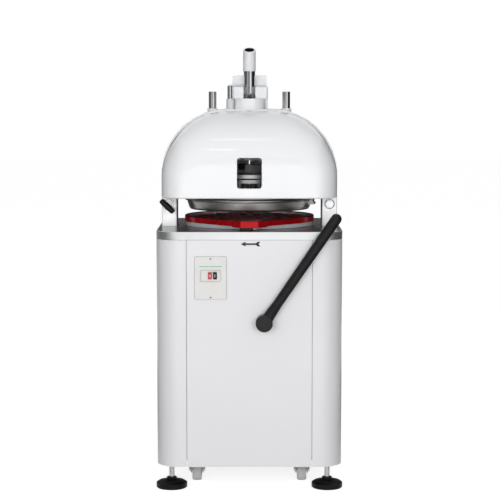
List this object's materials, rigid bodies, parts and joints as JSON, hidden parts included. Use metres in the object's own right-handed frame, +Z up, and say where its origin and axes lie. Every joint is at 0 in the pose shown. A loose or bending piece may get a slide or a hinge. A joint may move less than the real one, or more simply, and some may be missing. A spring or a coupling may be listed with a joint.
{
  "type": "dough divider rounder",
  "caption": "Floor-standing bakery machine: a hand lever on its arched white head presses and divides dough over a red orbiting plate that rounds the portions.",
  "frame": {"origin": "on the floor, at the centre of the bounding box's base", "axes": "+Z up, +X to the operator's right, +Y from the front to the back"},
  "size_m": [0.64, 0.732, 1.5112],
  "materials": {
    "white_paint": "gloss enamel",
    "stainless": "polished",
    "steel": "machined",
    "chrome": "polished",
    "aluminium": "machined",
    "cast_iron": "painted grey",
    "frame_paint": "primer",
    "black_paint": "satin black",
    "red_plastic": "glossy",
    "red_button": "glossy",
    "black_plastic": "satin",
    "nylon": "satin",
    "cream_plastic": "satin",
    "grey_plastic": "matte",
    "grip_rubber": "matte",
    "belt_rubber": "matte",
    "foot_rubber": "matte",
    "grey_rubber": "matte"
  },
  "bodies": {
    "base": {"base_plate": "frame_paint", "base_frame": "frame_paint", "bed_plate": "steel", "table_tray": "stainless", "left_side_panel": "white_paint", "right_side_panel": "white_paint", "front_panel": "white_paint", "rear_panel": "white_paint", "left_column": "white_paint", "right_column": "white_paint", "head_arch": "white_paint", "front_cover": "white_paint", "rear_cover": "white_paint", "spindle_housing": "white_paint", "lever_yoke": "white_paint", "rod_bushes": "nylon", "head_ring_plate": "steel", "column_bosses": "white_paint", "switch_box": "cream_plastic", "drive_motor": "aluminium", "drive_belt": "belt_rubber", "crank_bearing": "cast_iron", "cable_gland": "grey_plastic", "caster_mounts": "steel", "fasteners": "steel"},
    "press_lever": {"press_hub": "steel", "press_stem": "chrome", "press_socket": "white_paint"},
    "press_carriage": {"press_spindle": "steel", "presser_plate": "aluminium", "guide_rods": "chrome", "presser_segments": "aluminium"},
    "lock": {"lock_knob": "black_plastic"},
    "knife_set": {"knife_carrier": "aluminium", "knife_grid": "stainless", "knife_rod": "chrome"},
    "chamber": {"chamber_ring": "aluminium", "ring_pins": "steel", "ring_latch": "chrome"},
    "crank": {"crank_shaft": "steel", "driven_pulley": "cast_iron"},
    "orbit": {"orbit_table": "aluminium", "moulding_plate": "red_plastic", "plate_latch": "black_plastic"},
    "left_guide": {"left_guide_crank": "steel"},
    "right_guide": {"right_guide_crank": "steel"},
    "motor_rotor": {"motor_pulley": "cast_iron"},
    "rounding_lever": {"rounding_hub": "black_paint", "rounding_grip": "grip_rubber", "rounding_shaft": "steel"},
    "clamp": {"clamp_handle": "black_plastic"},
    "start": {"start_button": "black_plastic"},
    "stop": {"stop_button": "red_button"},
    "left_caster": {"left_caster_fork": "steel"},
    "left_front_wheel": {"left_caster_wheel": "grey_rubber"},
    "right_caster": {"right_caster_fork": "steel"},
    "right_front_wheel": {"right_caster_wheel": "grey_rubber"},
    "rear_axle": {"rear_wheels": "grey_rubber"},
    "left_levelling_foot": {"left_foot": "foot_rubber"},
    "right_levelling_foot": {"right_foot": "foot_rubber"}
  },
  "joints": [
    {"name": "press_lever_pull", "type": "hinge", "parent": "base", "child": "press_lever", "pos_m": [0, 0.022, 1.352], "axis": [1, 0, 0], "range_deg": [0, 60]},
    {"name": "press_down", "type": "slide", "parent": "base", "child": "press_carriage", "axis": [0, 0, -1], "range_m": [0, 0.0231], "stiffness_N_per_m": 6000, "springref_m": -0.06},
    {"name": "lock_pull", "type": "slide", "parent": "press_carriage", "child": "lock", "axis": [0, -1, 0], "range_m": [0, 0.006], "stiffness_N_per_m": 600, "springref_m": -0.004},
    {"name": "knife_down", "type": "slide", "parent": "press_carriage", "child": "knife_set", "axis": [0, 0, -1], "range_m": [0, 0.02], "stiffness_N_per_m": 2500, "springref_m": -0.05},
    {"name": "chamber_down", "type": "slide", "parent": "base", "child": "chamber", "axis": [0, 0, -1], "range_m": [0, 0.022], "stiffness_N_per_m": 1500, "springref_m": -0.03},
    {"name": "crank_spin", "type": "hinge", "parent": "base", "child": "crank", "pos_m": [0, 0, 0.8], "axis": [0, 0, 1], "continuous": true},
    {"name": "orbit_turn", "type": "hinge", "parent": "crank", "child": "orbit", "pos_m": [0, 0.01, 0.89], "axis": [0, 0, 1], "continuous": true},
    {"name": "left_guide_turn", "type": "hinge", "parent": "base", "child": "left_guide", "pos_m": [-0.15, -0.06, 0.875], "axis": [0, 0, 1], "continuous": true},
    {"name": "right_guide_turn", "type": "hinge", "parent": "base", "child": "right_guide", "pos_m": [0.15, -0.06, 0.875], "axis": [0, 0, 1], "continuous": true},
    {"name": "motor_spin", "type": "hinge", "parent": "base", "child": "motor_rotor", "pos_m": [0, 0.185, 0.7], "axis": [0, 0, 1], "continuous": true},
    {"name": "rounding_lever_swing", "type": "hinge", "parent": "base", "child": "rounding_lever", "pos_m": [0.05, -0.33, 0.58], "axis": [0, -1, 0], "range_deg": [0, 64]},
    {"name": "clamp_turn", "type": "hinge", "parent": "base", "child": "clamp", "pos_m": [-0.2815, -0.07, 0.971], "axis": [0, -1, 0], "range_deg": [0, 80]},
    {"name": "start_press", "type": "slide", "parent": "base", "child": "start", "axis": [0, 1, 0], "range_m": [0, 0.004], "stiffness_N_per_m": 600, "springref_m": -0.003},
    {"name": "stop_press", "type": "slide", "parent": "base", "child": "stop", "axis": [0, 1, 0], "range_m": [0, 0.004], "stiffness_N_per_m": 600, "springref_m": -0.003},
    {"name": "left_caster_swivel", "type": "hinge", "parent": "base", "child": "left_caster", "pos_m": [-0.183, -0.183, 0.09], "axis": [0, 0, 1], "continuous": true},
    {"name": "left_front_wheel_spin", "type": "hinge", "parent": "left_caster", "child": "left_front_wheel", "pos_m": [-0.183, -0.158, 0.038], "axis": [1, 0, 0], "continuous": true},
    {"name": "right_caster_swivel", "type": "hinge", "parent": "base", "child": "right_caster", "pos_m": [0.183, -0.183, 0.09], "axis": [0, 0, 1], "continuous": true},
    {"name": "right_front_wheel_spin", "type": "hinge", "parent": "right_caster", "child": "right_front_wheel", "pos_m": [0.183, -0.158, 0.038], "axis": [1, 0, 0], "continuous": true},
    {"name": "rear_wheels_spin", "type": "hinge", "parent": "base", "child": "rear_axle", "pos_m": [0, 0.183, 0.038], "axis": [1, 0, 0], "continuous": true},
    {"name": "left_foot_screw", "type": "slide", "parent": "base", "child": "left_levelling_foot", "axis": [0, 0, 1], "range_m": [-0.02, 0]},
    {"name": "right_foot_screw", "type": "slide", "parent": "base", "child": "right_levelling_foot", "axis": [0, 0, 1], "range_m": [-0.02, 0]}
  ],
  "couplings": [
    {"joint": "press_down", "follows": "press_lever_pull", "m_per_rad": 0.022},
    {"joint": "orbit_turn", "follows": "crank_spin", "ratio": -1},
    {"joint": "left_guide_turn", "follows": "crank_spin", "ratio": 1},
    {"joint": "right_guide_turn", "follows": "crank_spin", "ratio": 1},
    {"joint": "motor_spin", "follows": "crank_spin", "ratio": 3.03}
  ]
}
